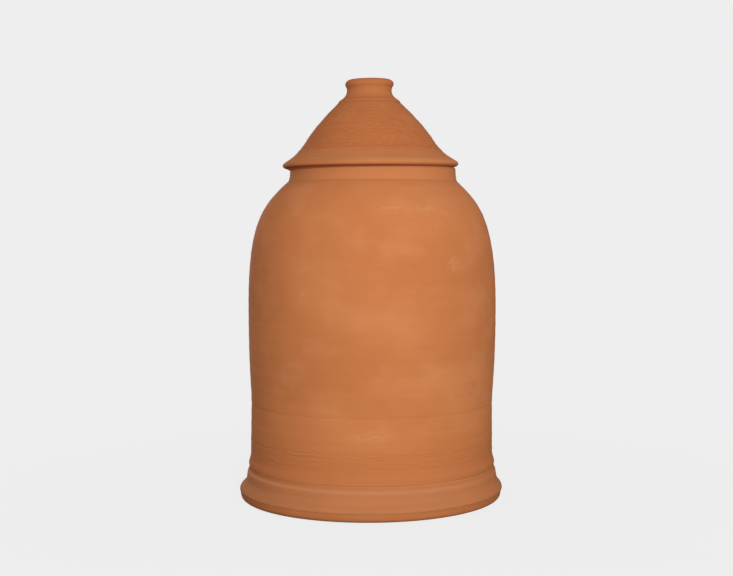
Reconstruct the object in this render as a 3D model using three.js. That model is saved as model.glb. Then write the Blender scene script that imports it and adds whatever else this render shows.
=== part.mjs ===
// A rhubarb forcer: a tall bell of unglazed terracotta, open at the foot and at the neck, with a loose
// conical lid. The bell stands over a plant and the lid comes off for a look inside.
//
// Millimetres, +Z up, origin at the centre of the ring that the bell stands on. Every piece is turned
// about the vertical axis, as it was on the wheel, so each one is an outline of (radius, height) points.
// A potter makes the tall bell and its lid as separate thrown pieces and lutes them together with slip.
// Those pieces stay separate here, each keyed into the next by a shallow scored tongue.

import * as THREE from "three";

// Bell, outside
const FOOT_RADIUS = 183.2; // widest point of the rolled foot
const FOOT_ROLL_HEIGHT = 13; // height of that widest point
const FOOT_ROLL_TOP = 28; // where the roll dies into the flare above it
const FLARE_RADIUS = 175.6;
const BAND_RADIUS = 172; // at the joint between foot band and wall
const WAIST_RADIUS = 168;
const WAIST_HEIGHT = 118;
const BELLY_RADIUS = 172.2;
const BELLY_HEIGHT = 268;
const NECK_ROOT_RADIUS = 117.6; // where the shoulder meets the neck
const NECK_RADIUS = 115;

// Bell, heights of the luted joints
const FOOT_JOINT = 45.5;
const WALL_JOINT = 132.4;
const NECK_JOINT = 440;
const NECK_TOP = 458;

// Bell, inside
const WALL = 12;
const MOUTH_RADIUS = 158;
const NECK_BORE_RADIUS = 104;

// Lid
const LID_OFFSET = -3; // the lid has play in the neck and sits off centre
const BRIM_RADIUS = 121.9;
const BRIM_EDGE_HEIGHT = 463.3;
const BRIM_CORNER = [102.4, 479]; // where the brim turns up into the cone
const LID_WALL = 9.5;
const SEAT_GAP = 0.35; // between the lid's seat and the neck
const FLANGE_RADIUS = 99; // the ring under the lid that drops into the neck
const FLANGE_THICKNESS = 9;
const FLANGE_DEPTH = 16;
const CROWN_HEIGHT = 556; // closed top of the cone, under the knob

// Knob
const KNOB_SKIRT_RADIUS = 43.3;
const KNOB_SKIRT_HEIGHT = 548;
const KNOB_WAIST_RADIUS = 31;
const KNOB_WAIST_HEIGHT = 566;
const KNOB_RIM_RADIUS = 33.6;
const KNOB_RIM_HEIGHT = 574.3;
const KNOB_DISH_RADIUS = 23;
const KNOB_DISH_DEPTH = 5;
const TOTAL_HEIGHT = 580;

// Luted joints
const JOINT_GAP = 0.4;
const TONGUE_DEPTH = 3;
const TONGUE_HALF_WIDTH = 3.5;

const SEGMENTS = 48;
const CURVE_STEPS = 4;

const terracotta = new THREE.MeshStandardMaterial({ color: 0xc97b4a, roughness: 0.9, metalness: 0 });
const redTerracotta = new THREE.MeshStandardMaterial({ color: 0xb66c40, roughness: 0.93, metalness: 0 });

const point = (radius, height) => new THREE.Vector2(radius, height);

// The points of a cubic stroke through radius and height, without its first point.
function stroke(from, leave, arrive, to, steps = CURVE_STEPS) {
  const curve = new THREE.CubicBezierCurve(point(...from), point(...leave), point(...arrive), point(...to));
  return curve.getPoints(steps).slice(1);
}

// The bell's outer face from the foot joint to the neck joint, and the same face moved in by the wall.
const wallLow = new THREE.CubicBezierCurve(
  point(BAND_RADIUS, FOOT_JOINT),
  point(BAND_RADIUS - 3.4, FOOT_JOINT + 16),
  point(WAIST_RADIUS + 0.4, WAIST_HEIGHT - 32),
  point(WAIST_RADIUS, WAIST_HEIGHT),
);
const wallHigh = new THREE.CubicBezierCurve(
  point(WAIST_RADIUS, WAIST_HEIGHT),
  point(WAIST_RADIUS, WAIST_HEIGHT + 30),
  point(BELLY_RADIUS, BELLY_HEIGHT - 85),
  point(BELLY_RADIUS, BELLY_HEIGHT),
);
const shoulder = new THREE.CubicBezierCurve(
  point(BELLY_RADIUS, BELLY_HEIGHT),
  point(BELLY_RADIUS, BELLY_HEIGHT + 122.5),
  point(BELLY_RADIUS - 24.2, NECK_JOINT - 29.5),
  point(NECK_ROOT_RADIUS, NECK_JOINT),
);

// The lid's outer face from the brim up to the knob's skirt.
const cone = new THREE.CubicBezierCurve(
  point(...BRIM_CORNER),
  point(BRIM_CORNER[0] - 17, BRIM_CORNER[1] + 15.2),
  point(KNOB_SKIRT_RADIUS + 48.4, KNOB_SKIRT_HEIGHT - 47),
  point(KNOB_SKIRT_RADIUS, KNOB_SKIRT_HEIGHT),
);

// The curve's points between two heights, moved in by depth at right angles to the curve.
function face(curve, low, high, depth, steps) {
  const found = [];
  for (let i = 0; i <= steps; i += 1) {
    const at = curve.getPoint(i / steps);
    const along = curve.getTangent(i / steps);
    const moved = point(at.x - along.y * depth, at.y + along.x * depth);
    if (moved.y > low + 1 && moved.y < high - 1) found.push(moved);
  }
  return found;
}

// The top of a lower piece (drop 0) or the foot of the piece above it (lifted by the joint's gap),
// from the outside in: a flat ring with a shallow tongue along its middle.
function lutedFace(outer, inner, height, lift = 0, halfWidth = TONGUE_HALF_WIDTH, depth = TONGUE_DEPTH) {
  const middle = (outer + inner) / 2;
  return [
    point(outer, height + lift),
    point(middle + halfWidth, height + lift),
    point(middle, height + lift - depth),
    point(middle - halfWidth, height + lift),
    point(inner, height + lift),
  ];
}

// A solid turned about the vertical axis from an outline that closes on itself or ends on the axis.
function turned(name, outline, material) {
  const geometry = new THREE.LatheGeometry(outline, SEGMENTS);
  geometry.rotateX(Math.PI / 2);
  const mesh = new THREE.Mesh(geometry, material);
  mesh.name = name;
  return mesh;
}

const closed = (outline) => [...outline, outline[0].clone()];

// The thick band round the open mouth: a rolled foot with a short flare above it.
function footBand() {
  return turned(
    "foot_band",
    closed([
      point(MOUTH_RADIUS + 3, 0),
      point(FOOT_RADIUS - 13, 0),
      ...stroke(
        [FOOT_RADIUS - 13, 0],
        [FOOT_RADIUS - 4.5, 0.2],
        [FOOT_RADIUS, FOOT_ROLL_HEIGHT - 8],
        [FOOT_RADIUS, FOOT_ROLL_HEIGHT],
      ),
      ...stroke(
        [FOOT_RADIUS, FOOT_ROLL_HEIGHT],
        [FOOT_RADIUS, FOOT_ROLL_HEIGHT + 5.4],
        [FLARE_RADIUS + 1, FOOT_ROLL_TOP - 4],
        [FLARE_RADIUS, FOOT_ROLL_TOP],
      ),
      point(FLARE_RADIUS - 1.6, (FOOT_ROLL_TOP + FOOT_JOINT) / 2),
      ...lutedFace(BAND_RADIUS, BAND_RADIUS - WALL - 4, FOOT_JOINT),
      point(MOUTH_RADIUS - 2, FOOT_ROLL_TOP),
      point(MOUTH_RADIUS, 4),
    ]),
    terracotta,
  );
}

// The first thrown ring of the wall, from the foot band to the joint at hip height.
function lowerWall() {
  const low = FOOT_JOINT + JOINT_GAP;
  return turned(
    "lower_wall",
    closed([
      ...lutedFace(BAND_RADIUS, BAND_RADIUS - WALL - 4, FOOT_JOINT, JOINT_GAP).reverse(),
      ...face(wallLow, low, WALL_JOINT, 0, 5),
      ...lutedFace(WAIST_RADIUS + 0.2, WAIST_RADIUS - WALL, WALL_JOINT),
      ...face(wallLow, low + 8, WALL_JOINT, WALL, 4).reverse(),
    ]),
    terracotta,
  );
}

// The tall second ring: belly and shoulder, closing in to the neck.
function upperWall() {
  const low = WALL_JOINT + JOINT_GAP;
  return turned(
    "upper_wall",
    closed([
      ...lutedFace(WAIST_RADIUS + 0.2, WAIST_RADIUS - WALL, WALL_JOINT, JOINT_GAP).reverse(),
      ...face(wallHigh, low + 10, NECK_JOINT, 0, 4),
      ...face(shoulder, BELLY_HEIGHT + 10, NECK_JOINT, 0, 8),
      ...lutedFace(NECK_ROOT_RADIUS, NECK_BORE_RADIUS, NECK_JOINT),
      ...face(shoulder, BELLY_HEIGHT + 10, NECK_JOINT - 10, WALL, 7).reverse(),
      ...face(wallHigh, low + 10, NECK_JOINT, WALL, 3).reverse(),
    ]),
    terracotta,
  );
}

// The short upright collar that the lid rests on.
function neckCollar() {
  const foot = NECK_JOINT + JOINT_GAP;
  return turned(
    "neck_collar",
    closed([
      ...lutedFace(NECK_ROOT_RADIUS, NECK_BORE_RADIUS, NECK_JOINT, JOINT_GAP).reverse(),
      ...stroke(
        [NECK_ROOT_RADIUS, foot],
        [NECK_RADIUS + 1.2, foot + 1.5],
        [NECK_RADIUS + 0.5, foot + 6],
        [NECK_RADIUS, NECK_TOP - 2],
        4,
      ),
      point(NECK_RADIUS - 2, NECK_TOP),
      point(NECK_BORE_RADIUS + 2, NECK_TOP),
      point(NECK_BORE_RADIUS, NECK_TOP - 2),
    ]),
    terracotta,
  );
}

// The ring under the lid that drops into the neck and keeps the lid on.
function lidFlange(seat) {
  const inner = FLANGE_RADIUS - FLANGE_THICKNESS;
  return turned(
    "lid_flange",
    closed([
      point(inner + 2, NECK_TOP - FLANGE_DEPTH),
      point(FLANGE_RADIUS - 3, NECK_TOP - FLANGE_DEPTH),
      point(FLANGE_RADIUS - 1, NECK_TOP - FLANGE_DEPTH + 2),
      ...lutedFace(FLANGE_RADIUS, inner, seat, -JOINT_GAP, TONGUE_HALF_WIDTH - 1, TONGUE_DEPTH - 1),
      point(inner, NECK_TOP - FLANGE_DEPTH + 2),
    ]),
    redTerracotta,
  );
}

// The hollow cone with its flat seat and rounded brim.
function lidDome(seat) {
  const inner = FLANGE_RADIUS - FLANGE_THICKNESS;
  const cavityTop = CROWN_HEIGHT - LID_WALL;
  return turned(
    "lid_dome",
    [
      point(0, cavityTop),
      point(KNOB_SKIRT_RADIUS / 2, cavityTop - 2),
      ...face(cone, BRIM_CORNER[1], cavityTop, LID_WALL, 6).reverse(),
      ...lutedFace(FLANGE_RADIUS, inner, seat, 0, TONGUE_HALF_WIDTH - 1, TONGUE_DEPTH - 1).reverse(),
      point(BRIM_RADIUS - 4.5, seat),
      ...stroke(
        [BRIM_RADIUS - 4.5, seat],
        [BRIM_RADIUS - 1.5, seat + 0.3],
        [BRIM_RADIUS, BRIM_EDGE_HEIGHT - 2],
        [BRIM_RADIUS, BRIM_EDGE_HEIGHT],
        3,
      ),
      ...stroke(
        [BRIM_RADIUS, BRIM_EDGE_HEIGHT],
        [BRIM_RADIUS, BRIM_EDGE_HEIGHT + 3.7],
        [BRIM_CORNER[0] + 9.4, BRIM_CORNER[1] - 9],
        BRIM_CORNER,
      ),
      ...cone.getPoints(6).slice(1),
      ...crownLine(0).reverse().slice(1),
    ],
    redTerracotta,
  );
}

// The cap of the cone under the knob, from the axis out to the edge of the knob's skirt.
function crownLine(lift) {
  const line = new THREE.QuadraticBezierCurve(
    point(0, CROWN_HEIGHT + lift),
    point(KNOB_SKIRT_RADIUS / 2, CROWN_HEIGHT + lift),
    point(KNOB_SKIRT_RADIUS, KNOB_SKIRT_HEIGHT + lift),
  );
  return line.getPoints(4);
}

// The spool-shaped knob, dished on top, sitting over the crown of the cone.
function lidKnob() {
  const skirtTop = KNOB_SKIRT_HEIGHT + JOINT_GAP + 2;
  return turned(
    "lid_knob",
    [
      ...crownLine(JOINT_GAP),
      point(KNOB_SKIRT_RADIUS, skirtTop - 0.8),
      point(KNOB_SKIRT_RADIUS - 1.2, skirtTop),
      ...stroke(
        [KNOB_SKIRT_RADIUS - 1.2, skirtTop],
        [KNOB_SKIRT_RADIUS - 0.8, skirtTop + 1.5],
        [KNOB_WAIST_RADIUS, KNOB_WAIST_HEIGHT - 10],
        [KNOB_WAIST_RADIUS, KNOB_WAIST_HEIGHT],
      ),
      ...stroke(
        [KNOB_WAIST_RADIUS, KNOB_WAIST_HEIGHT],
        [KNOB_WAIST_RADIUS, KNOB_WAIST_HEIGHT + 5.2],
        [KNOB_RIM_RADIUS, KNOB_RIM_HEIGHT - 3.1],
        [KNOB_RIM_RADIUS, KNOB_RIM_HEIGHT],
        3,
      ),
      ...stroke(
        [KNOB_RIM_RADIUS, KNOB_RIM_HEIGHT],
        [KNOB_RIM_RADIUS, KNOB_RIM_HEIGHT + 3.3],
        [KNOB_RIM_RADIUS - 3.2, TOTAL_HEIGHT],
        [KNOB_RIM_RADIUS - 7.7, TOTAL_HEIGHT],
        3,
      ),
      point(KNOB_DISH_RADIUS, TOTAL_HEIGHT - 1),
      ...stroke(
        [KNOB_DISH_RADIUS, TOTAL_HEIGHT - 1],
        [KNOB_DISH_RADIUS - 5, TOTAL_HEIGHT - KNOB_DISH_DEPTH],
        [KNOB_DISH_RADIUS / 2, TOTAL_HEIGHT - KNOB_DISH_DEPTH],
        [0, TOTAL_HEIGHT - KNOB_DISH_DEPTH],
      ),
    ],
    redTerracotta,
  );
}

const bell = new THREE.Group();
bell.add(footBand(), lowerWall(), upperWall(), neckCollar());

const lid = new THREE.Group();
const seatHeight = NECK_TOP + SEAT_GAP;
lid.add(lidDome(seatHeight), lidFlange(seatHeight), lidKnob());
lid.position.x = LID_OFFSET;

const forcer = new THREE.Group();
forcer.add(bell, lid);

export default forcer;
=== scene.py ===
import math

import bpy
from mathutils import Matrix, Vector
from mathutils.geometry import interpolate_bezier


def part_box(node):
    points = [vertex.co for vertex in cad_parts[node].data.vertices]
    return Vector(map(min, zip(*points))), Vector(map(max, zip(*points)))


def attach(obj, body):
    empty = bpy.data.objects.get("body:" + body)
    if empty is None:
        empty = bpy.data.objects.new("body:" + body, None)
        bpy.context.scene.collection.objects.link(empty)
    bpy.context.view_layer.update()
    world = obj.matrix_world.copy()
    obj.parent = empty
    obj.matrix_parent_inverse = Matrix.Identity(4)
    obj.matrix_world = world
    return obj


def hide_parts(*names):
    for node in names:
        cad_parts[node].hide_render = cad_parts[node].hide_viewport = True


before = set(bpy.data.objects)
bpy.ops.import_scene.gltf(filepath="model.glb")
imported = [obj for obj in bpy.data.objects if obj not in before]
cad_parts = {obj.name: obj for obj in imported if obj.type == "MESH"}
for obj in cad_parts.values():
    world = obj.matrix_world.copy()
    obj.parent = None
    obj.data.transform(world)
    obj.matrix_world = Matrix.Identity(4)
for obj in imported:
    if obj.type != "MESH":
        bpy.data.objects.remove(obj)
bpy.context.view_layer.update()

MM = 0.001

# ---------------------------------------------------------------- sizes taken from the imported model

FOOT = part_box("foot_band")[1].x
FOOT_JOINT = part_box("foot_band")[1].z
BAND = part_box("lower_wall")[1].x
WALL_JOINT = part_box("lower_wall")[1].z
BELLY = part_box("upper_wall")[1].x
NECK_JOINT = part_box("upper_wall")[1].z
NECK_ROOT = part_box("neck_collar")[1].x
NECK_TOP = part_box("neck_collar")[1].z
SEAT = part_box("lid_dome")[0].z
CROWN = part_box("lid_dome")[1].z
LID_X = (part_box("lid_dome")[0].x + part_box("lid_dome")[1].x) / 2
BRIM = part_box("lid_dome")[1].x - LID_X
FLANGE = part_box("lid_flange")[1].x - LID_X
FLANGE_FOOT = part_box("lid_flange")[0].z
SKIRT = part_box("lid_knob")[1].x - LID_X
SKIRT_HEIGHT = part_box("lid_knob")[0].z
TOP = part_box("lid_knob")[1].z

# ---------------------------------------------------------------- sizes of the pot's finer shape

# The bell. Widths are radii.
MOUTH = 158 * MM
FOOT_WALL = 16 * MM
ROLL_EDGE = 12.6 * MM
CREST_HEIGHT = 38.8 * MM
GROOVE_HEIGHT = 42.6 * MM
BEAD_HEIGHT = 48.5 * MM
BASE = 168.5 * MM
WAIST = 167.7 * MM
BELLY_HEIGHT = 268 * MM
WALL = 12 * MM
NECK = 115 * MM
NECK_BORE = 104 * MM

# The lid, which is drawn a little to the right of its seat because its tilt takes it back to the left.
LID_CENTRE = LID_X + 1.2 * MM
LID_WALL = 9.5 * MM
BRIM_HEIGHT = 463.3 * MM
BRIM_CORNER = (102.4 * MM, 479 * MM)
KNOB_WAIST = 31 * MM
KNOB_WAIST_HEIGHT = 566 * MM
KNOB_RIM = 33.6 * MM
KNOB_RIM_HEIGHT = 574.3 * MM
KNOB_TOP = TOP + 0.9 * MM
DISH = TOP - 5 * MM
FLANGE_WALL = 9 * MM
FLANGE_SLACK = 0.8 * MM

# The luted joints: closed to a hairline outside, with a little room along the scored tongue.
HAIRLINE = 0.02 * MM
JOINT_GAP = 0.4 * MM
TONGUE_DEPTH = 3 * MM
TONGUE_HALF_WIDTH = 3.5 * MM
LID_TONGUE_DEPTH = 2 * MM
LID_TONGUE_HALF_WIDTH = 2.5 * MM

WALL_SIDES = 360
HIP_SIDES = 480
LID_SIDES = 480
FLANGE_SIDES = 240
KNOB_SIDES = 256


# ---------------------------------------------------------------- drawing outlines


def stroke(start, leave, arrive, end, points):
    """Points along a cubic curve between two (radius, height) pairs, both ends among them."""
    return interpolate_bezier(Vector(start), Vector(leave), Vector(arrive), Vector(end), points)


def straight(start, end, points):
    """Evenly spaced points between two (radius, height) pairs, both ends among them."""
    return [Vector(start).lerp(Vector(end), i / (points - 1)) for i in range(points)]


def sideways(line):
    """The direction out of the clay at each point of a line drawn from its lower end up."""
    ends = zip([line[0], *line[:-1]], [*line[1:], line[-1]])
    return [Vector((b.y - a.y, a.x - b.x)).normalized() for a, b in ends]


def pushed(line, how_far):
    """The line, each point moved out of the clay by how_far(height)."""
    return [p + out * how_far(p.y) for p, out in zip(line, sideways(line))]


def ridge(height, at, width, rise):
    """A soft ridge, or with a negative rise a groove, round the pot at a height."""
    return rise * math.exp(-(((height - at) / width) ** 2))


def fingers(height):
    """The fine spiral that fingers and rib leave on a thrown wall, never quite even."""
    fine = math.sin(height / (4.6 * MM) * math.tau + 2 * math.sin(height / (61 * MM)))
    broad = math.sin(height / (17 * MM) * math.tau + 1.3 * math.sin(height / (43 * MM)))
    return 0.025 * MM * fine + 0.08 * MM * broad


def knuckles(height):
    """The broader ridges that are left inside, where nobody smooths them."""
    return 0.9 * MM * math.sin(height / (15 * MM) * math.tau + 1.1 * math.sin(height / (70 * MM)))


def luted_face(outer, inner, height, half_width=TONGUE_HALF_WIDTH, depth=TONGUE_DEPTH):
    """The joint between two pieces of clay, from the outside in: a flat ring with a scored tongue."""
    middle = (outer + inner) / 2
    across = [(outer, 0), (middle + half_width, 0), (middle, -depth), (middle - half_width, 0), (inner, 0)]
    return [Vector((radius, height + drop)) for radius, drop in across]


# ---------------------------------------------------------------- turning clay


def turn(name, outline, sides, centre_x=0.0):
    """Draws an outline out of one point, spins it round the wheel's axis and closes it."""
    first = outline[0]
    bpy.ops.object.select_all(action="DESELECT")
    bpy.ops.mesh.primitive_plane_add(size=MM, location=(centre_x + first.x, 0, first.y))
    piece = bpy.context.object
    piece.name = piece.data.name = name
    bpy.ops.object.transform_apply(location=True)
    bpy.ops.object.mode_set(mode="EDIT")
    bpy.ops.mesh.select_mode(type="VERT")
    bpy.ops.mesh.select_all(action="SELECT")
    bpy.ops.mesh.merge(type="CENTER")
    for here, there in zip(outline, outline[1:]):
        step = (there.x - here.x, 0, there.y - here.y)
        bpy.ops.mesh.extrude_vertices_move(TRANSFORM_OT_translate={"value": step})
    bpy.ops.mesh.select_all(action="SELECT")
    bpy.ops.mesh.spin(steps=sides, angle=math.tau, center=(centre_x, 0, 0), axis=(0, 0, 1))
    bpy.ops.mesh.select_all(action="SELECT")
    bpy.ops.mesh.remove_doubles(threshold=0.02 * MM)
    bpy.ops.mesh.normals_make_consistent(inside=False)
    bpy.ops.object.mode_set(mode="OBJECT")
    return piece


def pick(piece):
    """Selects one piece and nothing else."""
    bpy.ops.object.select_all(action="DESELECT")
    piece.select_set(True)
    bpy.context.view_layer.objects.active = piece


def apply_modifier(piece, modifier):
    bpy.context.view_layer.objects.active = piece
    bpy.ops.object.modifier_apply(modifier=modifier.name)


def zone(piece, low, high, fade):
    """A vertex group of the clay between two heights, fading out at both ends."""
    group = piece.vertex_groups.new(name=f"zone_{len(piece.vertex_groups)}")
    for vertex in piece.data.vertices:
        share = min((vertex.co.z - low) / fade, (high - vertex.co.z) / fade, 1.0)
        if share > 0:
            group.add([vertex.index], share, "REPLACE")
    return group.name


def away_from_joints(piece):
    """A vertex group that leaves the edges of the piece's joints alone, so that they still meet."""
    heights = [vertex.co.z for vertex in piece.data.vertices]
    return zone(piece, min(heights) + MM, max(heights) - MM, 4 * MM)


def work_surface(piece, name, grain_size, depth, detail, where):
    """Leaves marks in the clay of a zone: a noise whose grains are as long, wide and high as given."""
    texture = bpy.data.textures.new(name, "CLOUDS")
    texture.noise_scale = 1.0
    texture.noise_depth = detail
    bpy.ops.object.select_all(action="DESELECT")
    bpy.ops.object.empty_add()
    guide = bpy.context.object
    guide.scale = grain_size
    bpy.context.view_layer.update()
    marks = piece.modifiers.new(name, "DISPLACE")
    marks.texture = texture
    marks.texture_coords = "OBJECT"
    marks.texture_coords_object = guide
    marks.mid_level = 0.5
    marks.strength = depth
    marks.vertex_group = where
    apply_modifier(piece, marks)
    bpy.data.objects.remove(guide)
    bpy.data.textures.remove(texture)


def push_with_lattice(pieces, reach, bottom, top, layers, shift):
    """Pushes soft clay by a cage between two heights: shift gives each corner of the cage its move."""
    low = Vector((-reach, -reach, bottom))
    high = Vector((reach, reach, top))
    bpy.ops.object.select_all(action="DESELECT")
    bpy.ops.object.add(type="LATTICE", location=(low + high) / 2)
    cage = bpy.context.object
    cage.scale = high - low
    cage.data.points_u = cage.data.points_v = 2
    cage.data.points_w = layers
    cage.data.interpolation_type_w = "KEY_CATMULL_ROM" if layers > 2 else "KEY_LINEAR"
    cage.data.interpolation_type_u = cage.data.interpolation_type_v = "KEY_LINEAR"
    for corner in cage.data.points:
        move = shift(corner.co.x, corner.co.y, corner.co.z + 0.5)
        scaled = [m / s for m, s in zip(move, cage.scale)]
        corner.co_deform = corner.co + Vector(scaled)
    bpy.context.view_layer.update()
    for piece in pieces:
        bend = piece.modifiers.new("lean", "LATTICE")
        bend.object = cage
        apply_modifier(piece, bend)
    bpy.data.objects.remove(cage)


def finish_piece(piece, node, body, material):
    """Smooths the piece, puts it in its clay and lets it stand for its node."""
    pick(piece)
    bpy.ops.object.shade_smooth_by_angle(angle=math.radians(45))
    piece.vertex_groups.clear()
    piece.data.materials.clear()
    piece.data.materials.append(material)
    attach(piece, body)
    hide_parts(node)


# ---------------------------------------------------------------- the bell


def wall_marks(height):
    """What shows on the outside of the wall: finger ridges, the bead over the foot and the seam ring."""
    bead = ridge(height, BEAD_HEIGHT, 8.6 * MM, 2.9 * MM)
    seam = ridge(height, WALL_JOINT, 1.6 * MM, -0.16 * MM)
    smear = ridge(height, WALL_JOINT + 4 * MM, 2.5 * MM, 0.15 * MM)
    return fingers(height) + bead + (seam + smear)


def foot_groove(height):
    return ridge(height, GROOVE_HEIGHT, 3.8 * MM, -1.25 * MM)


def lower_face(points):
    """The outside of the first wall ring, from the foot's joint up."""
    return stroke(
        (BASE, FOOT_JOINT + HAIRLINE),
        (BASE - 0.1 * MM, FOOT_JOINT + 26 * MM),
        (WAIST + 0.6 * MM, WALL_JOINT - 40 * MM),
        (WAIST + 0.1 * MM, WALL_JOINT),
        points,
    )


def upper_face(belly_points, shoulder_points):
    """The outside of the second wall ring: the belly and the shoulder."""
    belly = stroke(
        (WAIST + 0.1 * MM, WALL_JOINT + HAIRLINE),
        (WAIST + 0.4 * MM, WALL_JOINT + 24 * MM),
        (BELLY, BELLY_HEIGHT - 85 * MM),
        (BELLY, BELLY_HEIGHT),
        belly_points,
    )
    shoulder = stroke(
        (BELLY, BELLY_HEIGHT),
        (BELLY, BELLY_HEIGHT + 122.5 * MM),
        (BELLY - 24.2 * MM, NECK_JOINT - 29.5 * MM),
        (NECK_ROOT, NECK_JOINT),
        shoulder_points,
    )
    return belly + shoulder[1:]


def foot_roll():
    """The roll that the bell stands on, from its underside out and up to its widest."""
    under = stroke(
        (FOOT - 13 * MM, 0),
        (FOOT - 6 * MM, 0),
        (FOOT - 3 * MM, 1.4 * MM),
        (FOOT - 2 * MM, 5 * MM),
        9,
    )
    side = straight((FOOT - 1.8 * MM, 6 * MM), (FOOT - 0.8 * MM, ROLL_EDGE - 0.8 * MM), 8)
    shoulder = stroke(
        (FOOT - 0.4 * MM, ROLL_EDGE),
        (FOOT, ROLL_EDGE + 0.5 * MM),
        (FOOT, ROLL_EDGE + 2.6 * MM),
        (FOOT - 2 * MM, 18 * MM),
        12,
    )
    return [*under, *side, *shoulder]


def foot_flare():
    """The flare from the roll up to the joint, with the crest and the groove worked into it."""
    spread = stroke(
        (FOOT - 2.7 * MM, 18.8 * MM),
        (FOOT - 6.9 * MM, 22.9 * MM),
        (BAND + 2.7 * MM, 25.5 * MM),
        (BAND + 2.2 * MM, 31 * MM),
        14,
    )
    rise = straight((BAND + 2.1 * MM, 32 * MM), (BAND - 0.4 * MM, FOOT_JOINT), 26)
    return pushed(spread + rise, lambda h: ridge(h, CREST_HEIGHT, 2.6 * MM, 0.5 * MM) + foot_groove(h))


def make_foot_band():
    roll = foot_roll()
    flare = foot_flare()
    inner = BAND - FOOT_WALL
    joint = luted_face(flare[-1].x - MM, inner, FOOT_JOINT)[1:]
    inside = straight((inner, FOOT_JOINT - 2 * MM), (MOUTH, 6 * MM), 12)
    mouth = stroke((MOUTH, 5 * MM), (MOUTH, 1 * MM), (MOUTH + 1 * MM, 0), (MOUTH + 5 * MM, 0), 7)
    outline = [*roll, *flare, *joint, *inside, *mouth, roll[0]]
    return turn("foot_band_clay", outline, WALL_SIDES)


def make_lower_wall():
    outside = pushed(lower_face(118), lambda h: wall_marks(h) + foot_groove(h))
    inner = BAND - FOOT_WALL
    bare = straight((inner + 1 * MM, FOOT_JOINT + 6 * MM), (WAIST - WALL, WALL_JOINT - MM), 18)
    inside = pushed(bare, lambda h: 0.7 * knuckles(h))
    joint_below = luted_face(outside[0].x, inner, FOOT_JOINT + JOINT_GAP)[1:]
    joint_above = luted_face(outside[-1].x, WAIST - WALL, WALL_JOINT)[1:]
    outline = [*reversed(joint_below), *outside, *joint_above, *reversed(inside), joint_below[-1]]
    return turn("lower_wall_clay", outline, HIP_SIDES)


def make_upper_wall():
    outside = pushed(upper_face(80, 104), wall_marks)
    bare = upper_face(12, 22)
    kept = [p for p in bare if WALL_JOINT + 4 * MM < p.y < NECK_JOINT - 6 * MM]
    inside = [p - out * WALL for p, out in zip(kept, sideways(kept))]
    inside = [p for p in pushed(inside, knuckles) if p.x > NECK_BORE + 0.5 * MM]
    joint_below = luted_face(outside[0].x, WAIST - WALL, WALL_JOINT + JOINT_GAP)[1:]
    joint_above = luted_face(outside[-1].x, NECK_BORE, NECK_JOINT)[1:]
    outline = [*reversed(joint_below), *outside, *joint_above, *reversed(inside), joint_below[-1]]
    return turn("upper_wall_clay", outline, WALL_SIDES)


def make_neck_collar():
    foot = NECK_JOINT + JOINT_GAP
    outside = stroke(
        (NECK_ROOT - 0.2 * MM, NECK_JOINT + HAIRLINE),
        (NECK + 1.5 * MM, foot + 1.6 * MM),
        (NECK + 0.4 * MM, foot + 4.5 * MM),
        (NECK, NECK_TOP - 2.8 * MM),
        22,
    )
    rim = stroke(
        outside[-1],
        (NECK, NECK_TOP - MM),
        (NECK - 1 * MM, NECK_TOP - 0.4 * MM),
        (NECK - 4 * MM, NECK_TOP),
        10,
    )
    mouth = stroke(
        (NECK_BORE + 2 * MM, NECK_TOP),
        (NECK_BORE + 0.7 * MM, NECK_TOP),
        (NECK_BORE, NECK_TOP - MM),
        (NECK_BORE, NECK_TOP - 3 * MM),
        7,
    )
    joint = luted_face(outside[0].x, NECK_BORE, foot)[1:]
    outline = [*reversed(joint), *outside, *rim[1:], *mouth, joint[-1]]
    return turn("neck_collar_clay", outline, WALL_SIDES)


# ---------------------------------------------------------------- the lid


def cone_face(points):
    """The outside of the cone, from the corner of the brim up to the knob's skirt."""
    return stroke(
        BRIM_CORNER,
        (BRIM_CORNER[0] - 17 * MM, BRIM_CORNER[1] + 15.2 * MM),
        (SKIRT + 48.4 * MM, SKIRT_HEIGHT - 47 * MM),
        (SKIRT, SKIRT_HEIGHT),
        points,
    )


def crown_line(lift, edge_lift, points):
    """The cap of the cone under the knob, from the axis out to the edge of the knob's skirt."""
    return stroke(
        (0, CROWN + lift),
        (SKIRT / 3, CROWN + lift),
        (SKIRT * 2 / 3, CROWN + lift - 2.8 * MM),
        (SKIRT - MM, SKIRT_HEIGHT + edge_lift),
        points,
    )


def dome_hollow(bore):
    """The inside of the cone, from the axis out and down to the flange's bore."""
    bare = cone_face(24)
    kept = [p for p in bare[1:] if p.y < CROWN - LID_WALL]
    inside = [p - out * LID_WALL for p, out in zip(kept, sideways(kept))]
    inside = [p for p in inside if p.x < bore]
    inside = pushed(inside, lambda h: 0.4 * knuckles(h))
    cap = stroke(
        (0, CROWN - LID_WALL),
        (SKIRT / 3, CROWN - LID_WALL),
        (SKIRT * 0.6, CROWN - LID_WALL - 2 * MM),
        inside[-1],
        8,
    )
    return [*cap, *reversed(inside[:-1])]


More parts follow.
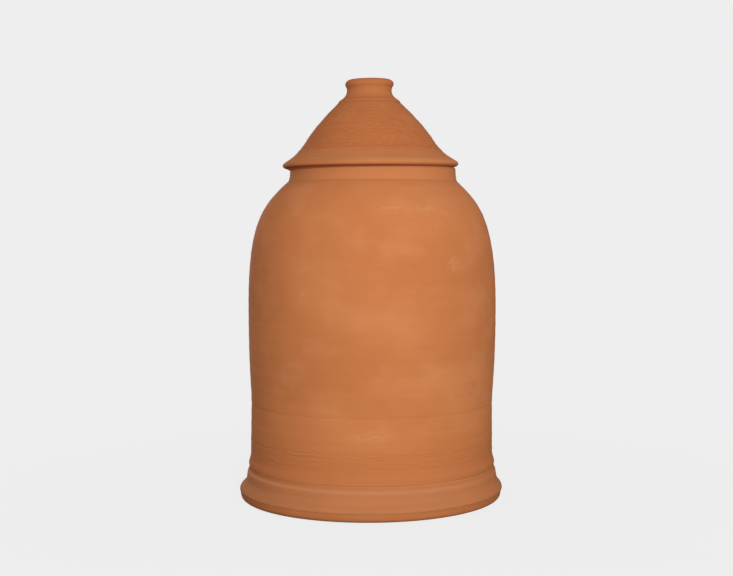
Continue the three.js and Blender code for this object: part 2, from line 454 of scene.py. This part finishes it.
def dome_brim():
    """The brim: its flat underside, its lip, and its rounded top as far as the cone's corner."""
    under = stroke(
        (NECK_BORE + 5 * MM, SEAT),
        (NECK_BORE + 10 * MM, SEAT),
        (BRIM - 8 * MM, SEAT + 1.2 * MM),
        (BRIM - 5 * MM, SEAT + 2.5 * MM),
        10,
    )
    lip = stroke(
        (BRIM - 4.5 * MM, SEAT + 2.7 * MM),
        (BRIM - 1.2 * MM, SEAT + 3 * MM),
        (BRIM, BRIM_HEIGHT - 1.2 * MM),
        (BRIM, BRIM_HEIGHT),
        12,
    )
    top = stroke(
        (BRIM, BRIM_HEIGHT),
        (BRIM, BRIM_HEIGHT + 3.7 * MM),
        (BRIM_CORNER[0] + 9.4 * MM, BRIM_CORNER[1] - 9 * MM),
        BRIM_CORNER,
        26,
    )
    return [*under, *lip, *top[1:]]


def cone_marks(height):
    """A raised ring where the brim was folded out, and finger ridges."""
    return ridge(height, BRIM_CORNER[1] + 4 * MM, 2.2 * MM, 0.35 * MM) + fingers(height) * 0.8


def make_lid_dome():
    bore = FLANGE - FLANGE_WALL
    seat = luted_face(FLANGE, bore, SEAT, LID_TONGUE_HALF_WIDTH, LID_TONGUE_DEPTH)
    cone = pushed(cone_face(92), cone_marks)
    crown = crown_line(0, -0.4 * MM, 10)
    outline = [*dome_hollow(bore), *reversed(seat), *dome_brim(), *cone[1:], *reversed(crown[:-1])]
    return turn("lid_dome_clay", outline, LID_SIDES, LID_CENTRE)


def make_lid_flange():
    outer = FLANGE - FLANGE_SLACK
    bore = FLANGE - FLANGE_WALL
    top = luted_face(outer, bore, SEAT - JOINT_GAP, LID_TONGUE_HALF_WIDTH, LID_TONGUE_DEPTH)
    foot = stroke(
        (bore, FLANGE_FOOT + 4 * MM),
        (bore, FLANGE_FOOT),
        (outer - 1.5 * MM, FLANGE_FOOT - MM),
        (outer, FLANGE_FOOT + 5 * MM),
        16,
    )
    outline = [*foot, *top, foot[0]]
    return turn("lid_flange_clay", outline, FLANGE_SIDES, LID_CENTRE)


def knob_side():
    """The knob's side, from the edge of its skirt up to the widest of its rim."""
    skirt_top = SKIRT_HEIGHT + 2.4 * MM
    skirt = stroke(
        (SKIRT - 0.1 * MM, SKIRT_HEIGHT + HAIRLINE),
        (SKIRT - 0.15 * MM, SKIRT_HEIGHT + 0.8 * MM),
        (SKIRT - 0.6 * MM, skirt_top - MM),
        (SKIRT - 1.4 * MM, skirt_top),
        8,
    )
    waist = stroke(
        skirt[-1],
        (SKIRT - 2.8 * MM, skirt_top + 2.2 * MM),
        (KNOB_WAIST, KNOB_WAIST_HEIGHT - 10 * MM),
        (KNOB_WAIST, KNOB_WAIST_HEIGHT),
        26,
    )
    neck = stroke(
        waist[-1],
        (KNOB_WAIST, KNOB_WAIST_HEIGHT + 5 * MM),
        (KNOB_RIM, KNOB_RIM_HEIGHT - 3.1 * MM),
        (KNOB_RIM, KNOB_RIM_HEIGHT),
        12,
    )
    return [*skirt[1:], *waist[1:], *neck[1:]]


def knob_top(widest):
    """The knob's rounded rim and the shallow dish in it, from the widest of the rim to the axis."""
    rim = stroke(
        widest,
        (KNOB_RIM, KNOB_RIM_HEIGHT + 3.3 * MM),
        (KNOB_RIM - 3.2 * MM, KNOB_TOP),
        (KNOB_RIM - 8 * MM, KNOB_TOP),
        14,
    )
    lip = stroke(
        rim[-1],
        (KNOB_RIM - 12 * MM, KNOB_TOP),
        (KNOB_RIM - 13 * MM, DISH + 0.2 * MM),
        (KNOB_RIM - 19 * MM, DISH),
        12,
    )
    dish = straight(lip[-1], (0, DISH), 8)
    return [*rim[1:], *lip[1:], *dish[1:]]


def make_lid_knob():
    under = crown_line(JOINT_GAP, HAIRLINE, 10)
    side = knob_side()
    outline = [*under, *side, *knob_top(side[-1])]
    return turn("lid_knob_clay", outline, KNOB_SIDES, LID_CENTRE)


# ---------------------------------------------------------------- what hands and tools left

# How far each of seven layers of the bell, from the ground to the neck, moves to the right.
LEAN = (-0.3 * MM, -0.4 * MM, 0, 0.3 * MM, 0.2 * MM, 0, 1.3 * MM)
# How steeply each layer rises to the right: only the foot and its groove do.
RISE = (0.0055, 0.006, 0, 0, 0, 0, 0)
OVAL = 0.0022

# How far each of seven layers of the lid, from the brim to the top, moves to the right.
CONE_LEAN = (0, -0.8 * MM, -0.8 * MM, -0.7 * MM, -0.7 * MM, -0.6 * MM, 0)
LID_TILT = math.radians(0.72)


def lean(x, y, up):
    """The bell leans a little, and is slightly oval, with the long axis turning as it rises."""
    layer = round(up * 6)
    turned = 0.6 + 2.4 * up
    wide, deep = 0.4 * x, 0.4 * y
    across = OVAL * (wide * math.cos(turned) + deep * math.sin(turned))
    along = OVAL * (wide * math.sin(turned) - deep * math.cos(turned))
    return (LEAN[layer] + across, along, (wide + 0.17) * RISE[layer])


def roll_shift(x, y, up):
    """The roll of the foot was pushed a little to the left."""
    return (-1.1 * MM if up < 0.3 else 0, 0, 0)


def rim_tilt(x, y, up):
    """The top of the neck slopes as the lid on it does."""
    return (0, 0, (x * 0.24 * math.tan(LID_TILT) - 0.15 * MM) * up)


def cone_shift(x, y, up):
    """The cone stands a little off the middle of its brim."""
    return (CONE_LEAN[round(up * 6)], 0, 0)


def mark_bell(foot_band, lower_wall, upper_wall, neck_collar):
    """The wheel's marks all over the bell, and the rasp's over the bead."""
    for piece in (foot_band, lower_wall, upper_wall, neck_collar):
        work_surface(piece, "wheel_marks", (0.11, 0.11, 0.004), 0.22 * MM, 2, away_from_joints(piece))
    rasped = zone(lower_wall, 57 * MM, 92 * MM, 7 * MM)
    work_surface(lower_wall, "rasp", (0.03, 0.03, 0.003), 0.8 * MM, 3, rasped)


def mark_lid(lid_dome, lid_knob):
    """The wheel's marks on the lid, and grog torn out of the cone where it was trimmed."""
    thrown = zone(lid_dome, SEAT + MM, SKIRT_HEIGHT, 4 * MM)
    work_surface(lid_dome, "wheel_marks", (0.08, 0.08, 0.0032), 0.4 * MM, 2, thrown)
    work_surface(lid_knob, "wheel_marks", (0.08, 0.08, 0.0032), 0.4 * MM, 2, away_from_joints(lid_knob))
    trimmed = zone(lid_dome, 482 * MM, 544 * MM, 8 * MM)
    work_surface(lid_dome, "torn_grog", (0.009, 0.009, 0.0022), 1.3 * MM, 3, trimmed)


def settle_bell(foot_band, lower_wall, upper_wall, neck_collar):
    """The bell as it settled: leaning, slightly oval, its roll and its neck a little off true."""
    push_with_lattice((foot_band, lower_wall, upper_wall, neck_collar), 0.2, 0, NECK_TOP, 7, lean)
    push_with_lattice((foot_band,), 0.2, 0, 50 * MM, 5, roll_shift)
    push_with_lattice((neck_collar,), 0.12, NECK_JOINT, NECK_TOP, 2, rim_tilt)


def settle_lid(lid_dome, lid_flange, lid_knob):
    """The lid as it settled: its cone off centre, and all of it tilted on its seat."""
    push_with_lattice((lid_dome, lid_knob), 0.13, BRIM_HEIGHT, TOP, 7, cone_shift)
    seat_centre = Vector((LID_CENTRE, 0, SEAT))
    turned = Matrix.Rotation(-LID_TILT, 4, "Y")
    tilt = Matrix.Translation(seat_centre) @ turned @ Matrix.Translation(-seat_centre)
    for piece in (lid_dome, lid_flange, lid_knob):
        pick(piece)
        piece.matrix_world = tilt
        bpy.ops.object.transform_apply(location=True, rotation=True)


# ---------------------------------------------------------------- nodes


def blank_tree(owner):
    """The node tree of a new material or world, with nothing in it."""
    owner.use_nodes = True
    owner.node_tree.nodes.clear()
    return owner.node_tree


def add_node(tree, kind, inputs=(), **settings):
    made = tree.nodes.new(kind)
    for name, value in settings.items():
        setattr(made, name, value)
    for socket, value in dict(inputs).items():
        if isinstance(value, bpy.types.NodeSocket):
            tree.links.new(value, made.inputs[socket])
        else:
            made.inputs[socket].default_value = value
    return made


def mapped(tree, place, **settings):
    """The place, moved or scaled."""
    return add_node(tree, "ShaderNodeMapping", {"Vector": place, **settings}).outputs[0]


def grain(tree, place, size, detail=2.0, away=(0, 0, 0)):
    """A cloudy noise, 0 to 1, whose grains are as long, wide and high as size says, in metres."""
    spread = mapped(tree, place, Location=away, Scale=[1 / s for s in size])
    noise = add_node(tree, "ShaderNodeTexNoise", {"Vector": spread, "Scale": 1.0, "Detail": detail})
    return noise.outputs[0]


def window(tree, value, low, high, out_low=0.0, out_high=1.0):
    """The value, stretched so that low becomes out_low and high becomes out_high, and cut off there."""
    inputs = {"Value": value, "From Min": low, "From Max": high, "To Min": out_low, "To Max": out_high}
    return add_node(tree, "ShaderNodeMapRange", inputs).outputs[0]


def times(tree, a, b):
    return add_node(tree, "ShaderNodeMath", {0: a, 1: b}, operation="MULTIPLY").outputs[0]


def plus(tree, a, b):
    return add_node(tree, "ShaderNodeMath", {0: a, 1: b}, operation="ADD").outputs[0]


def between(tree, a, b, operation):
    return add_node(tree, "ShaderNodeVectorMath", {0: a, 1: b}, operation=operation).outputs[0]


def length_of(tree, vector):
    return add_node(tree, "ShaderNodeVectorMath", {0: vector}, operation="LENGTH").outputs["Value"]


def height_of(tree, place):
    return add_node(tree, "ShaderNodeSeparateXYZ", {0: place}).outputs[2]


def painted(tree, share, under, tone):
    """The colour under a coat of another tone, which is as thick as share says."""
    return add_node(tree, "ShaderNodeMix", {0: share, 6: under, 7: (*tone, 1)}, data_type="RGBA").outputs[2]


def specks(tree, place, spacing, radius, kept):
    """Grains of grog: round spots on a share of the cells of a scatter."""
    cells = add_node(tree, "ShaderNodeTexVoronoi", {"Vector": place, "Scale": 1 / spacing})
    spot = window(tree, cells.outputs["Distance"], radius / spacing, 0.4 * radius / spacing)
    lot = add_node(tree, "ShaderNodeSeparateColor", {0: cells.outputs["Color"]}).outputs[0]
    chosen = window(tree, lot, kept, kept - 0.02)
    return times(tree, spot, chosen)


def band(tree, height, low, high, fade):
    """1 between two heights, fading out beyond them."""
    rise = window(tree, height, low - fade, low)
    fall = window(tree, height, high + fade, high)
    return times(tree, rise, fall)


def smudge(tree, place, centre, size, ragged):
    """A soft mark round a point of the surface, as long, wide and high as size says."""
    moved = between(tree, place, centre, "SUBTRACT")
    stretched = between(tree, moved, [1 / v for v in size], "MULTIPLY")
    soft = window(tree, length_of(tree, stretched), 1.0, 0.2)
    return times(tree, soft, window(tree, ragged, 0.42, 0.64))


# ---------------------------------------------------------------- clay

CHALK = (0.74, 0.36, 0.17)
UMBER = (0.46, 0.15, 0.05)
DUST = (0.485, 0.188, 0.077)
# The tone of the painted shade on the roll near the ground.
PAINTED_FOOT_SHADE = (0.5, 0.165, 0.055)
PALE_GROG = (0.78, 0.42, 0.22)
DARK_GROG = (0.25, 0.075, 0.03)

# Bands round the bell, several of them painted shade: from height, to height, fade, share and tone.
BELL_BANDS = (
    (-10 * MM, 50 * MM, 110 * MM, 0.55, (0.56, 0.188, 0.062)),  # darker and redder towards the ground: painted shade where the light falls off
    (41.5 * MM, 44.3 * MM, 1.2 * MM, 0.3, (0.4, 0.135, 0.045)),  # painted shade in the groove
    (46 * MM, 50 * MM, 1.5 * MM, 0.5, (0.68, 0.262, 0.1)),  # the rubbed lower edge of the bead
    (53 * MM, 76 * MM, 4 * MM, 0.7, (0.54, 0.185, 0.063)),  # the rasped clay, darker: painted shade of its roughness
    (50 * MM, 60 * MM, 4 * MM, 0.4, (0.49, 0.165, 0.055)),  # the top of the bead
    (441 * MM, 470 * MM, 10 * MM, 0.6, (0.56, 0.213, 0.08)),  # the neck, darker: painted shade under the lid's brim
    (457.5 * MM, 475 * MM, 3 * MM, 0.3, (0.3, 0.1, 0.036)),  # painted shadow on the neck's rim, under the lid's brim
)

# Bands round the lid, two of them painted shade.
LID_BANDS = (
    (457.5 * MM, 459.2 * MM, 0.9 * MM, 0.65, (0.24, 0.08, 0.03)),  # painted shadow under the brim
    (467 * MM, 479 * MM, 6 * MM, 0.6, (0.6, 0.232, 0.085)),  # the smoothed top of the brim
    (556 * MM, 600 * MM, 30 * MM, 0.5, (0.5, 0.175, 0.062)),  # the knob, darker: painted shade where the light falls off towards the top
)

# Scuffs on the bell: place, size, share and tone.
SCUFFS = (
    ((0.02, -0.148, 0.404), (0.03, 0.02, 0.004), 0.4, CHALK),
    ((0.062, -0.13, 0.402), (0.026, 0.02, 0.005), 0.45, CHALK),
    ((0.09, -0.115, 0.395), (0.014, 0.02, 0.004), 0.4, CHALK),
    ((0.106, -0.133, 0.331), (0.012, 0.02, 0.014), 0.4, CHALK),
    ((-0.089, -0.147, 0.29), (0.009, 0.02, 0.013), 0.35, CHALK),
    ((-0.004, -0.168, 0.11), (0.034, 0.02, 0.009), 0.3, CHALK),
    ((0.05, -0.162, 0.328), (0.03, 0.02, 0.0035), 0.35, UMBER),
    ((0.131, -0.108, 0.165), (0.014, 0.02, 0.018), 0.4, UMBER),
    ((-0.002, -0.168, 0.198), (0.024, 0.02, 0.008), 0.25, UMBER),
)


def clay_grains(tree, place):
    """The noises that the clay's colour and its tooth share."""
    return {
        "patches": grain(tree, place, (0.14, 0.14, 0.1), 3.0),
        "blushes": grain(tree, place, (0.06, 0.06, 0.035), 3.0, (3.1, 1.7, 0.4)),
        "streaks": grain(tree, place, (0.18, 0.18, 0.005), 3.0),
        "hairlines": grain(tree, place, (0.07, 0.07, 0.0016), 2.0),
        "tooth": grain(tree, place, (0.0018, 0.0018, 0.0013), 3.0),
    }


def fired_colour(tree, grains, middle, deep, pale, streaking):
    """Patches and blushes from the kiln, streaks from the wheel, and a fine tooth."""
    colour = painted(tree, window(tree, grains["patches"], 0.38, 0.62, 0, 0.8), (*middle, 1), deep)
    colour = painted(tree, window(tree, grains["blushes"], 0.48, 0.72, 0, 0.45), colour, pale)
    colour = painted(tree, window(tree, grains["streaks"], 0.38, 0.66, 0, streaking), colour, deep)
    colour = painted(tree, window(tree, grains["hairlines"], 0.52, 0.72, 0, 0.5 * streaking), colour, pale)
    return painted(tree, window(tree, grains["tooth"], 0.38, 0.66, 0, 0.25), colour, deep)


def banded(tree, height, colour, bands):
    """Bands of other tones round the pot."""
    for low, high, fade, share, tone in bands:
        toned = times(tree, band(tree, height, low, high, fade), share)
        colour = painted(tree, toned, colour, tone)
    return colour


def dusty_and_shaded_foot(tree, height, blushes, colour):
    """Dust on the flare of the foot, and painted shade on the roll near the ground, laid on unevenly."""
    flare = band(tree, height, 15 * MM, 42 * MM, 5 * MM)
    dusty = times(tree, flare, window(tree, blushes, 0.3, 0.55, 0.45, 0.9))
    colour = painted(tree, dusty, colour, DUST)
    # Painted shade: the roll darkened near the ground, with a ragged upper edge.
    uneven = plus(tree, height, times(tree, blushes, 14 * MM))
    painted_shade = times(tree, window(tree, uneven, 22 * MM, 15 * MM), 0.75)
    return painted(tree, painted_shade, colour, PAINTED_FOOT_SHADE)


def worn_edge(tree, height, streaks, colour, low, high, pale):
    """An edge rubbed pale, more in some places than in others."""
    rubbed = window(tree, streaks, 0.3, 0.6, 0.05, 0.45)
    worn = times(tree, band(tree, height, low, high, 1.6 * MM), rubbed)
    return painted(tree, worn, colour, pale)


def scuffed(tree, place, colour, scuffs):
    ragged = grain(tree, place, (0.008, 0.008, 0.003), 4.0)
    for centre, size, share, tone in scuffs:
        scuff = smudge(tree, place, centre, size, ragged)
        colour = painted(tree, times(tree, scuff, share), colour, tone)
    return colour


def torn(tree, place, where, colour, relief, deep):
    """Clay that a tool dragged over when it was leather hard, with crumbs torn out of it; its colour
    darkened there, and more in the pits, as painted shade of the torn surface.
    """
    crumbs = grain(tree, place, (0.0065, 0.0065, 0.0018), 3.0, (1.3, 0.2, 2.2))
    shaded_pits = times(tree, window(tree, crumbs, 0.5, 0.66), where)
    # Painted shade: the torn zone darker, and its pits darker still.
    colour = painted(tree, times(tree, where, 0.3), colour, deep)
    colour = painted(tree, times(tree, shaded_pits, 0.7), colour, deep)
    return colour, plus(tree, relief, times(tree, crumbs, times(tree, where, -2.2)))


def bare_grit(tree, place, where, colour):
    """Coarse grit that the trimming laid bare, each grain drawn out along the turn."""
    drawn_out = mapped(tree, place, Scale=(0.55, 0.55, 1))
    grit = times(tree, specks(tree, drawn_out, 2.6 * MM, 0.8 * MM, 0.32), where)
    return painted(tree, times(tree, grit, 0.4), colour, CHALK)


def grogged(tree, place, colour, speckling):
    """Pale and dark grog all through the clay."""
    light = specks(tree, place, 4.5 * MM, 0.6 * MM, speckling)
    colour = painted(tree, times(tree, light, 0.45), colour, PALE_GROG)
    elsewhere = mapped(tree, place, Location=(0.7, 0.3, 0.9))
    dark = specks(tree, elsewhere, 6 * MM, 0.6 * MM, speckling)
    return painted(tree, times(tree, dark, 0.45), colour, DARK_GROG)


def fine_relief(tree, grains):
    return plus(tree, times(tree, grains["tooth"], 0.5), times(tree, grains["hairlines"], 0.25))


def clay_surface(tree, colour, relief, tooth, roughness):
    """Dry unglazed clay of this colour and relief."""
    bump = add_node(tree, "ShaderNodeBump", {"Height": relief, "Strength": 0.6, "Distance": 0.5 * MM})
    rough = window(tree, tooth, 0.3, 0.7, roughness - 0.06, roughness + 0.04)
    shader = add_node(
        tree,
        "ShaderNodeBsdfPrincipled",
        {"Base Color": colour, "Roughness": rough, "Specular IOR Level": 0.2, "Normal": bump.outputs[0]},
    )
    add_node(tree, "ShaderNodeOutputMaterial", {"Surface": shader.outputs[0]})


def make_body_clay():
    """The bell's clay: orange and smoothly thrown, rasped over the foot, dusty and scuffed, with painted
    shade towards the ground, in the groove, over the rasped clay, on the neck and on its rim.
    """
    middle = (0.635, 0.231, 0.082)
    deep = (0.56, 0.188, 0.062)
    pale = (0.7, 0.29, 0.121)
    clay = bpy.data.materials.new("body_clay")
    tree = blank_tree(clay)
    place = add_node(tree, "ShaderNodeTexCoord").outputs["Object"]
    height = height_of(tree, place)
    grains = clay_grains(tree, place)
    colour = fired_colour(tree, grains, middle, deep, pale, streaking=0.13)
    colour = banded(tree, height, colour, BELL_BANDS)
    colour = dusty_and_shaded_foot(tree, height, grains["blushes"], colour)
    colour = worn_edge(tree, height, grains["streaks"], colour, 37 * MM, 40 * MM, pale)
    colour = scuffed(tree, place, colour, SCUFFS)
    rasped = band(tree, height, 60 * MM, 84 * MM, 8 * MM)
    colour, relief = torn(tree, place, rasped, colour, fine_relief(tree, grains), deep)
    colour = grogged(tree, place, colour, speckling=0.07)
    clay_surface(tree, colour, relief, grains["tooth"], roughness=0.9)
    return clay


def make_lid_clay():
    """The lid's clay: redder and more streaked, torn and gritty where the cone was trimmed, with painted
    shade in the torn clay, under the brim and on the knob.
    """
    middle = (0.6, 0.204, 0.068)
    deep = (0.5, 0.157, 0.05)
    pale = (0.66, 0.27, 0.11)
    clay = bpy.data.materials.new("lid_clay")
    tree = blank_tree(clay)
    place = add_node(tree, "ShaderNodeTexCoord").outputs["Object"]
    height = height_of(tree, place)
    grains = clay_grains(tree, place)
    colour = fired_colour(tree, grains, middle, deep, pale, streaking=0.3)
    colour = banded(tree, height, colour, LID_BANDS)
    colour = worn_edge(tree, height, grains["streaks"], colour, 461 * MM, 469 * MM, pale)
    trimmed = band(tree, height, 484 * MM, 544 * MM, 8 * MM)
    colour, relief = torn(tree, place, trimmed, colour, fine_relief(tree, grains), deep)
    colour = bare_grit(tree, place, trimmed, colour)
    colour = grogged(tree, place, colour, speckling=0.4)
    clay_surface(tree, colour, relief, grains["tooth"], roughness=0.92)
    return clay


# ---------------------------------------------------------------- stage, light and camera

BACKDROP = (0.855, 0.855, 0.855, 1)

CAMERA_DISTANCE = 1.82
CAMERA_HEIGHT = 0.3892
CAMERA_SIDE = -0.0075
CAMERA_PITCH = 3.06
CAMERA_LENS = 64.06


def seen_and_felt(tree, felt, seen):
    """One shader for the camera and another for the light that bounces off."""
    eye = add_node(tree, "ShaderNodeLightPath").outputs["Is Camera Ray"]
    return add_node(tree, "ShaderNodeMixShader", {0: eye, 1: felt.outputs[0], 2: seen.outputs[0]})


def make_studio_paper():
    """White paper that takes a faint shadow near the pot and runs into the backdrop beyond it."""
    paper = bpy.data.materials.new("studio_paper")
    tree = blank_tree(paper)
    reach = length_of(tree, add_node(tree, "ShaderNodeTexCoord").outputs["Object"])
    shade = add_node(tree, "ShaderNodeBsdfDiffuse", {"Color": (0.05, 0.05, 0.05, 1)})
    glow = add_node(tree, "ShaderNodeEmission", {"Color": BACKDROP, "Strength": 0.955})
    near = add_node(tree, "ShaderNodeAddShader", {0: shade.outputs[0], 1: glow.outputs[0]})
    far = add_node(tree, "ShaderNodeEmission", {"Color": BACKDROP, "Strength": 1.0})
    away = window(tree, reach, 0.3, 0.9)
    seen = add_node(tree, "ShaderNodeMixShader", {0: away, 1: near.outputs[0], 2: far.outputs[0]})
    bounce = add_node(tree, "ShaderNodeBsdfDiffuse", {"Color": (0.12, 0.11, 0.105, 1)})
    both = seen_and_felt(tree, bounce, seen)
    add_node(tree, "ShaderNodeOutputMaterial", {"Surface": both.outputs[0]})
    return paper


def make_floor():
    bpy.ops.object.select_all(action="DESELECT")
    bpy.ops.mesh.primitive_circle_add(vertices=96, radius=12, fill_type="NGON", location=(0, 0, 0))
    floor = bpy.context.object
    floor.name = "studio_floor"
    floor.data.materials.append(make_studio_paper())


def make_room():
    """A pale room: bright to look at, and dimmer and warmer as a light."""
    room = bpy.data.worlds.new("studio_room")
    bpy.context.scene.world = room
    tree = blank_tree(room)
    backdrop = add_node(tree, "ShaderNodeBackground", {"Color": BACKDROP, "Strength": 1.0})
    upward = height_of(tree, add_node(tree, "ShaderNodeTexCoord").outputs["Object"])
    dimming = window(tree, upward, 0.0, 1.0, 0.77, 0.29)
    ambient = add_node(tree, "ShaderNodeBackground", {"Color": (1.0, 0.89, 0.82, 1), "Strength": dimming})
    both = seen_and_felt(tree, ambient, backdrop)
    add_node(tree, "ShaderNodeOutputWorld", {"Surface": both.outputs[0]})


def add_softbox(name, place, size, power, colour):
    """A round softbox that faces the middle of the bell."""
    bpy.ops.object.light_add(type="AREA", location=place)
    box = bpy.context.object
    box.name = name
    box.data.shape = "DISK"
    box.data.size = size
    box.data.energy = power
    box.data.color = colour
    box.rotation_euler = (Vector((0, 0, 0.3)) - Vector(place)).to_track_quat("-Z", "Y").to_euler()
    box.visible_camera = False


def make_camera():
    bpy.ops.object.camera_add(
        location=(CAMERA_SIDE, -CAMERA_DISTANCE, CAMERA_HEIGHT),
        rotation=(math.radians(90 - CAMERA_PITCH), 0, 0),
    )
    camera = bpy.context.object
    camera.data.sensor_width = 36
    camera.data.lens = CAMERA_LENS
    bpy.context.scene.camera = camera


# ---------------------------------------------------------------- build

make_camera()
make_room()
make_floor()
add_softbox("key_softbox", (0.48, -2.54, 0.6), 0.9, 42.5, (0.99, 1.0, 0.97))
add_softbox("rim_softbox", (-1.32, 2.12, 0.5), 1.0, 12, (1.0, 0.96, 0.92))
bpy.context.scene.view_settings.view_transform = "Standard"

body_clay = make_body_clay()
lid_clay = make_lid_clay()

foot_band = make_foot_band()
lower_wall = make_lower_wall()
upper_wall = make_upper_wall()
neck_collar = make_neck_collar()
lid_dome = make_lid_dome()
lid_flange = make_lid_flange()
lid_knob = make_lid_knob()

mark_bell(foot_band, lower_wall, upper_wall, neck_collar)
mark_lid(lid_dome, lid_knob)
settle_bell(foot_band, lower_wall, upper_wall, neck_collar)
settle_lid(lid_dome, lid_flange, lid_knob)

finish_piece(foot_band, "foot_band", "bell", body_clay)
finish_piece(lower_wall, "lower_wall", "bell", body_clay)
finish_piece(upper_wall, "upper_wall", "bell", body_clay)
finish_piece(neck_collar, "neck_collar", "bell", body_clay)
finish_piece(lid_dome, "lid_dome", "lid", lid_clay)
finish_piece(lid_flange, "lid_flange", "lid", lid_clay)
finish_piece(lid_knob, "lid_knob", "lid", lid_clay)
